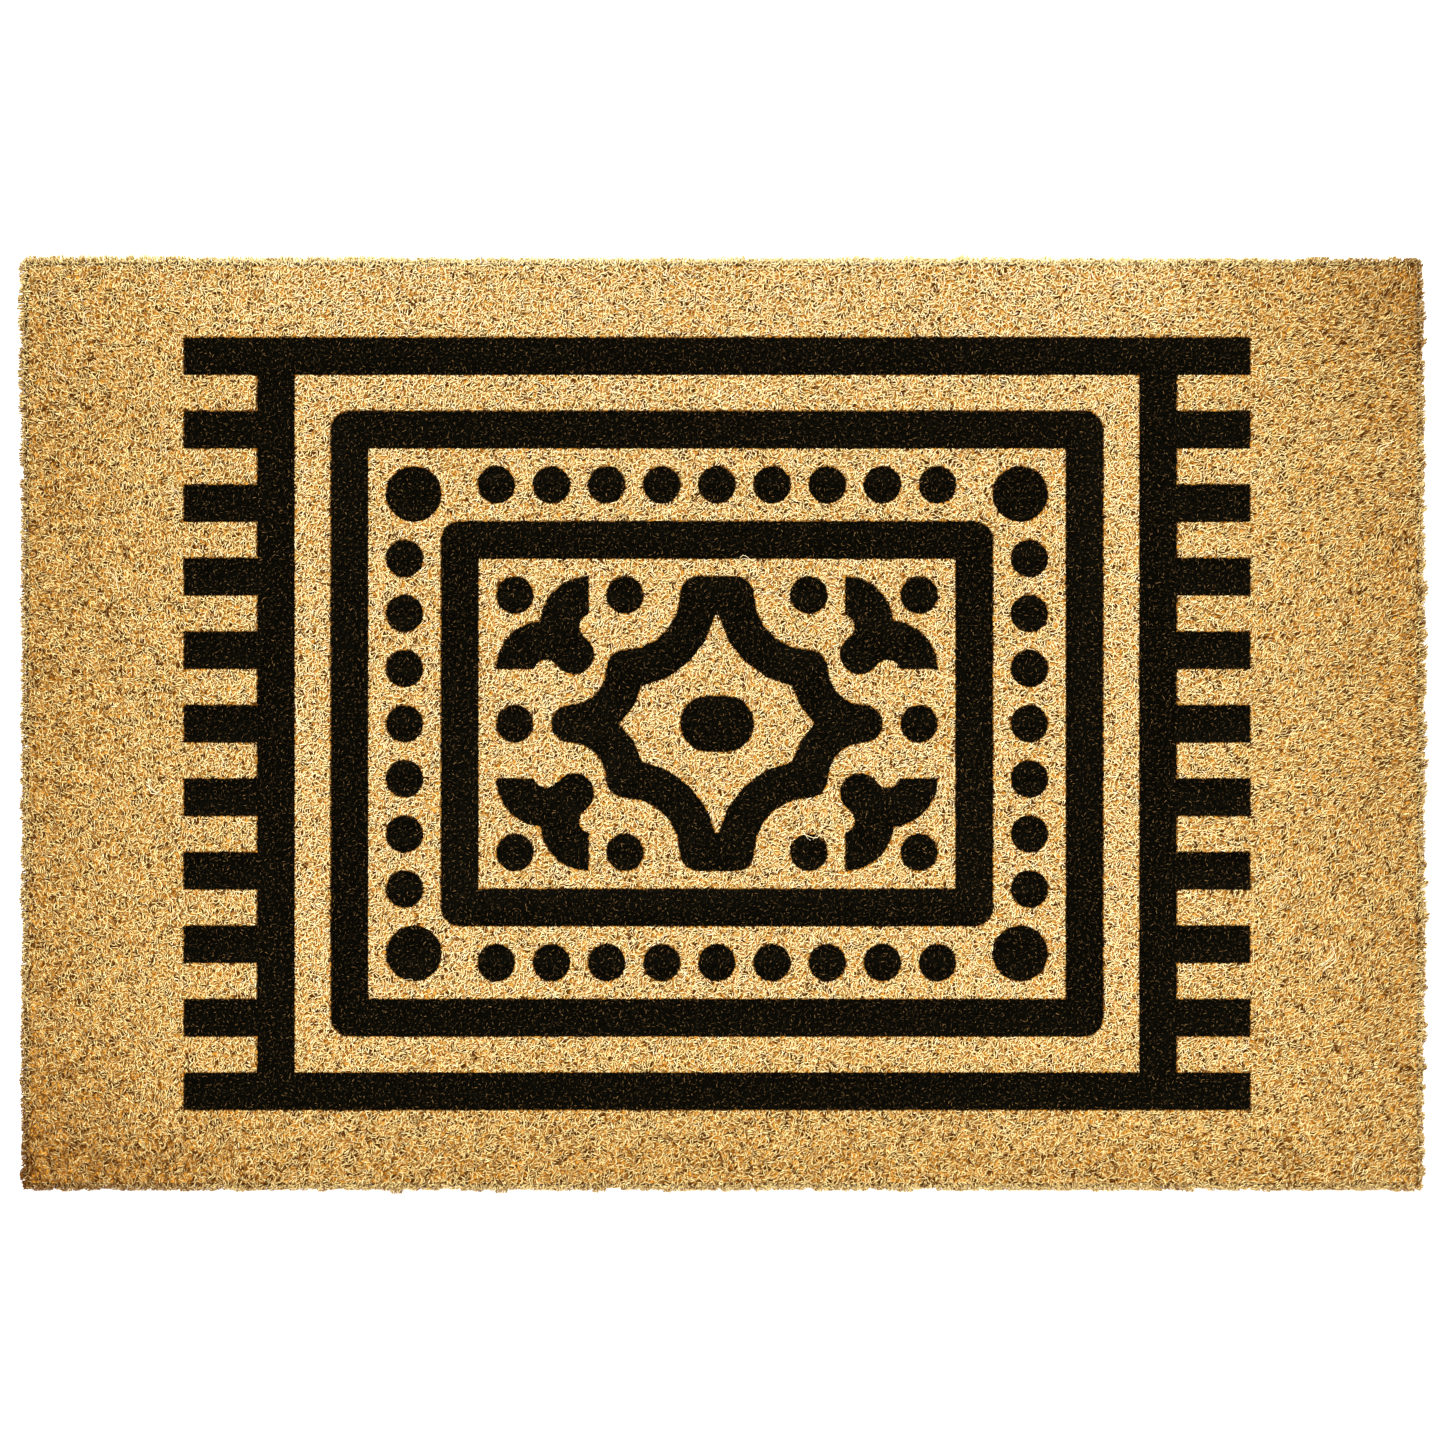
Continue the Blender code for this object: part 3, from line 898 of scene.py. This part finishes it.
# %% Grow the natural pile
NATURAL_PITCH = 1.62 * MM
FIBRE_WIDTH = (0.58 * MM, 0.98 * MM)
OVERHANG = 0.5 * MM  # how far past the solid's edge fibres are scattered
TIP_ROOM = 0.2 * MM  # between a trimmed end and the rim
BLOCKS = 10


def trimmed(points):
    """Ends that would pass the ragged rim are brought back inside it."""
    for side in SIDES:
        out, along = side.place(points)
        excess = out - side.reach(along - side.slant * out) + TIP_ROOM
        points[:, :2] -= np.clip(excess, 0, None)[:, None] * side.outward
    return points


def grow_natural_pile():
    points = scatter(NATURAL_PITCH, -OVERHANG)
    roots, tips = (trimmed(ends) for ends in ends_of(points))
    roots, tips, _ = kept_part(roots, tips, dyed=False)
    count = len(roots)
    thickness = rng.uniform(*FIBRE_WIDTH, count)
    twist = rng.uniform(0, 2 * math.pi, count)
    tone = own_tone(tips)
    blocks = np.clip(((tips[:, 0] / HALF_LENGTH + 1) / 2 * BLOCKS).astype(int), 0, BLOCKS - 1)
    pieces = []
    for block in range(BLOCKS):
        own = blocks == block
        grown = [(SHORT, *grow(SHORT, roots[own], tips[own], thickness[own], twist[own], tone[own]))]
        name = f"coir_pile_{block + 1}"
        mesh = mesh_from(name, grown)
        pieces.append(ride_as(name, mesh, natural_coir, "natural_coir", "coir_pile"))
        print(name, int(own.sum()), "fibres")
    return pieces


natural_pieces = grow_natural_pile()

# %% [markdown]
# ## The dyed figures
#
# Every figure of the pattern is one piece: its core, which is the figure's own solid lowered to just above
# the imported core, and its fibres. The fibres stand a little further apart than in the natural pile, because
# black on black hides the gaps. The outer frame has so many fibres that it comes as two halves.

# %% Make the core of a figure
DYED_CORE_TOP = CORE_TOP + 0.5 * MM
WELD = 0.001 * MM
CORE_PAINT = 0.3  # the middle of the dark, shaded part of the paint chart that the core is spread over: dark tone and painted shade
CORE_PAINT_SPREAD = 0.1
CORE_PAINT_PACE = 400  # radians for each metre of the core


def figure_core(node):
    """A copy of a figure's solid, welded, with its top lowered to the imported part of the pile."""
    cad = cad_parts[node]
    core = bpy.data.objects.new("figure_core", cad.data.copy())
    bpy.context.scene.collection.objects.link(core)
    core.data.materials.clear()
    work_on(core)
    bpy.ops.object.mode_set(mode="EDIT")
    bpy.ops.mesh.select_all(action="SELECT")
    bpy.ops.mesh.remove_doubles(threshold=WELD)
    bpy.ops.mesh.normals_make_consistent(inside=False)
    bpy.ops.object.mode_set(mode="OBJECT")
    top = max(vertex.co.z for vertex in core.data.vertices)
    for vertex in core.data.vertices:
        if vertex.co.z > top - SAME_HEIGHT:
            vertex.co.z = DYED_CORE_TOP
    return core


class Solid(Shape):
    """A core as a shape that is copied once, where it stands."""

    smooth = False

    def grown(self):
        """The core as a batch for a mesh, spread over dark tones and the painted shade of the paint chart."""
        chart = np.empty((len(self.points), 2))
        chart[:, 0] = CORE_PAINT + CORE_PAINT_SPREAD * np.cos(self.points[:, 0] * CORE_PAINT_PACE)
        chart[:, 1] = CORE_PAINT + CORE_PAINT_SPREAD * np.sin(self.points[:, 1] * CORE_PAINT_PACE)
        return self, self.points, chart


# %% Stand fibres on the figures
DYE_INSET = 20 * MM  # the pattern keeps further from the rim than this
DYED_PITCH = 2.2 * MM
DYED_WIDTH = (0.65, 1.05)  # in millimetres
DYED_TONES = (0.05, 0.8)
SPECK_PITCH = 3.0 * MM
SPECK_WIDTH = (0.38, 0.6)
SPECK_TONES = (0.8, 0.98)


def specks_of(points):
    """Roots and tips of the thin ends, on top of the pile, that the dye missed."""
    count = len(points)
    heading = rng.uniform(0, 2 * math.pi, count)
    step = np.stack([np.cos(heading), np.sin(heading)], axis=1) * rng.uniform(0.4, 1.1, (count, 1)) * MM
    roots = np.column_stack([points - step, PILE_TOP - rng.uniform(1.0, 1.8, count) * MM])
    tips = np.column_stack([points + step, PILE_TOP - rng.uniform(0.0, 0.6, count) * MM])
    return roots, tips


def dyed_batch(ends, width, tones):
    """The parts of some fibres that lie on figures, each with a thickness, a twist and a tone."""
    roots, tips, _ = kept_part(*ends, dyed=True)
    count = len(roots)
    thickness = rng.uniform(*width, count) * MM
    twist = rng.uniform(0, 2 * math.pi, count)
    tone = tones[0] + (tones[1] - tones[0]) * rng.random(count) ** 1.5
    return roots, tips, thickness, twist, tone


black = dyed_batch(ends_of(scatter(DYED_PITCH, DYE_INSET)), DYED_WIDTH, DYED_TONES)
specks = dyed_batch(specks_of(scatter(SPECK_PITCH, DYE_INSET)), SPECK_WIDTH, SPECK_TONES)
print(len(black[0]), "black fibres and", len(specks[0]), "specks")

# %% Share the fibres out over the figures
MOST_FIBRES = 20000  # in one piece


def grow_figures():
    pieces = []
    roots, tips, thickness, twist, tone = (np.concatenate(both) for both in zip(black, specks))
    figure = figure_at((roots + tips) / 2)
    for number, node in enumerate(FIGURES, start=1):
        name = node.replace("print_", "dyed_tufts_")
        own = figure == number
        shares = {name: own}
        if own.sum() > MOST_FIBRES:
            shares = {name + "_left": own & (tips[:, 0] < 0), name + "_right": own & (tips[:, 0] >= 0)}
        parts = [Solid(figure_core(node)).grown()]
        for name, own in shares.items():
            parts.append((SHORT, *grow(SHORT, roots[own], tips[own], thickness[own], twist[own], tone[own])))
            pieces.append(ride_as(name, mesh_from(name, parts), dyed_coir, "dyed_coir", node))
            parts = []
    return pieces


dyed_pieces = grow_figures()
print(len(dyed_pieces), "dyed pieces")

# %% [markdown]
# ## The edge
#
# From the side a mat is a wall of upright fibres standing on the black edge of its backing. They grow in
# tufts a few millimetres wide and splay outwards, so the outline is ragged. Four rows of bent fibres, each
# deeper in the rim than the one before, make the wall thick enough to hide the core, and short stubs cover
# the rim of the backing where a notch lays it bare.

# %% Stand rows of fibres along a side
ROOT_INSET = 1.0 * MM  # how far in from the solid's edge and from the corners the roots stay
ROW_END = 0.5 * MM  # how far from the corners a row stops
TIP_PAST = 0.6 * MM  # how far past a corner the tips may go along the side
EDGE_ROWS = [  # how deep in the rim each row stands, and its pitch
    (0.1 * MM, 0.55 * MM),
    (0.7 * MM, 0.75 * MM),
    (1.5 * MM, 0.95 * MM),
    (2.4 * MM, 1.1 * MM),
]


def edge_row(side, depth, pitch):
    """Roots and tips of one row of upright fibres along a side."""
    count = int(2 * side.half / pitch)
    along = ((np.arange(count) + rng.uniform(0, 1, count)) / count * 2 - 1) * (side.half - ROW_END)
    tip_out = side.reach(along) - depth - np.abs(rng.normal(0, 0.2 * MM + 0.4 * depth, count))
    root_out = np.minimum(-ROOT_INSET - depth, tip_out - 0.4 * MM)
    drift = rng.normal(0, 0.4, count) * MM
    most = side.half - ROOT_INSET
    root_along = np.clip(along + side.slant * root_out, -most, most)
    tip_along = along + side.slant * tip_out + drift
    limit = side.half + TIP_PAST
    tip_along = np.clip(tip_along, -limit, limit)
    lift = rng.triangular(0, 0.6, 2.6, count) * MM
    roots = (side.out + root_out)[:, None] * side.outward + root_along[:, None] * side.onward
    tips = (side.out + tip_out)[:, None] * side.outward + tip_along[:, None] * side.onward
    return np.column_stack([roots, np.full(count, PILE_LOW.z)]), np.column_stack([tips, PILE_TOP - lift])


# %% Grow the edge
STUBBLE_PITCH = 0.6 * MM
STUBBLE_END = 2 * MM  # how far from the corners the stubs stop
EDGE_WIDTH = (0.65, 1.05)  # in millimetres


def stubble(side):
    """Roots and tips of the short stubs on the rim of the backing, which the notches lay bare."""
    count = int(2 * side.half / STUBBLE_PITCH)
    along = rng.uniform(-1, 1, count) * (side.half - STUBBLE_END)
    out = -rng.uniform(1.7, 4.4, count) * MM
    lean = rng.normal(0, 0.8, (count, 2)) * MM
    roots = (side.out + out)[:, None] * side.outward + along[:, None] * side.onward
    tips = np.column_stack([roots + lean, PILE_LOW.z + rng.uniform(1.5, 4.5, count) * MM])
    return np.column_stack([roots, np.full(count, PILE_LOW.z)]), tips


def grow_edge(side):
    rows = [(BENT, edge_row(side, *row)) for row in EDGE_ROWS] + [(SHORT, stubble(side))]
    batches = []
    for shape, (roots, tips) in rows:
        count = len(roots)
        # painted shade: each side's rim is painted darker than the pile behind it
        tone = own_tone(tips) - side.shade
        thickness = rng.uniform(*EDGE_WIDTH, count) * MM
        twist = rng.uniform(0, 2 * math.pi, count)
        batches.append((shape, *grow(shape, roots, tips, thickness, twist, tone, RIM_SHADE_DEPTH)))
    name = "coir_edge_" + side.name
    print(name, [len(roots) for shape, (roots, tips) in rows], "fibres in each row")
    return ride_as(name, mesh_from(name, batches), natural_coir, "natural_coir", "coir_pile")


edges = [grow_edge(side) for side in SIDES]

# %% [markdown]
# ## Long loose fibres
#
# A few pale fibres lie on the face, several times longer than the rest, and a few stick out past the edge.

# %% Lay wisps on the face
WISPS = 60
WISP_INSET = 14 * MM
WISP_LENGTH = (7, 17)  # in millimetres


def wisps():
    """Roots, tips and twists of the loose fibres, which lie alone or in twos and threes that curl one way."""
    strands = rng.integers(1, 4, WISPS)
    spots = rng.uniform(-1, 1, (WISPS, 2)) * (HALF_LENGTH - WISP_INSET, HALF_WIDTH - WISP_INSET)
    heading = np.repeat(lean_heading(spots), strands) + rng.normal(0, 0.3, strands.sum())
    curl = np.repeat(rng.integers(0, 2, WISPS) * math.pi, strands) + rng.normal(0, 0.25, strands.sum())
    spots = np.repeat(spots, strands, axis=0) + rng.normal(0, 1.2, (strands.sum(), 2)) * MM
    reach = rng.uniform(*WISP_LENGTH, len(spots)) * MM / 2
    step = np.stack([np.cos(heading), np.sin(heading)], axis=1) * reach[:, None]
    on_natural = np.all([figure_at(spots + step * part) == 0 for part in (-1, 0, 1)], axis=0)
    depth = rng.uniform(0.1, 0.9, (2, len(spots))) * MM
    roots = np.column_stack([spots - step, PILE_TOP - depth[0]])
    tips = np.column_stack([spots + step, PILE_TOP - depth[1]])
    return roots[on_natural], tips[on_natural], curl[on_natural]


# %% Let a few fibres stray past the rim
STRAYS = 14
STRAY_SHARES = (0.2, 0.4, 0.25, 0.15)  # of them at the front, right, back and left


def strays():
    """Roots and tips of the fibres that stick out past the rim."""
    roots, tips = [], []
    for _ in range(STRAYS):
        side = SIDES[int(rng.choice(len(SIDES), p=STRAY_SHARES))]
        along = rng.uniform(-0.97, 0.97) * side.half
        root = (side.out - 2 * MM) * side.outward + along * side.onward
        tip = root + rng.uniform(4, 8) * MM * side.outward + rng.normal(0, 2.5) * MM * side.onward
        roots.append((*root, PILE_TOP - 3 * MM))
        tips.append((*tip, PILE_TOP - rng.uniform(0, 2) * MM))
    return np.array(roots), np.array(tips), rng.uniform(0, 2 * math.pi, STRAYS)


# %% Grow the loose fibres
LOOSE_WIDTH = (0.38, 0.62)  # in millimetres


def grow_loose():
    batches = []
    kinds = ((CURLED, wisps(), 0.7, 0.97), (BENT, strays(), 0.3, 0.6))
    for shape, (roots, tips, twist), tone_low, tone_high in kinds:
        count = len(roots)
        tone = rng.uniform(tone_low, tone_high, count)
        thickness = rng.uniform(*LOOSE_WIDTH, count) * MM
        batches.append((shape, *grow(shape, roots, tips, thickness, twist, tone)))
        print(count, "loose fibres")
    mesh = mesh_from("loose_fibres", batches)
    return ride_as("loose_fibres", mesh, natural_coir, "natural_coir", "coir_pile")


loose = grow_loose()

# %% [markdown]
# ## Counting the triangles
#
# The backing is cut flat and laid on the floor, with the pile on it. The shown pieces are counted by their
# triangles, and the one with most is named.

triangles = {
    piece.name: sum(len(face.vertices) - 2 for face in piece.data.polygons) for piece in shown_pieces()
}
largest = max(triangles, key=triangles.get)
print(len(triangles), "pieces,", sum(triangles.values()), "triangles, most in", largest, triangles[largest])
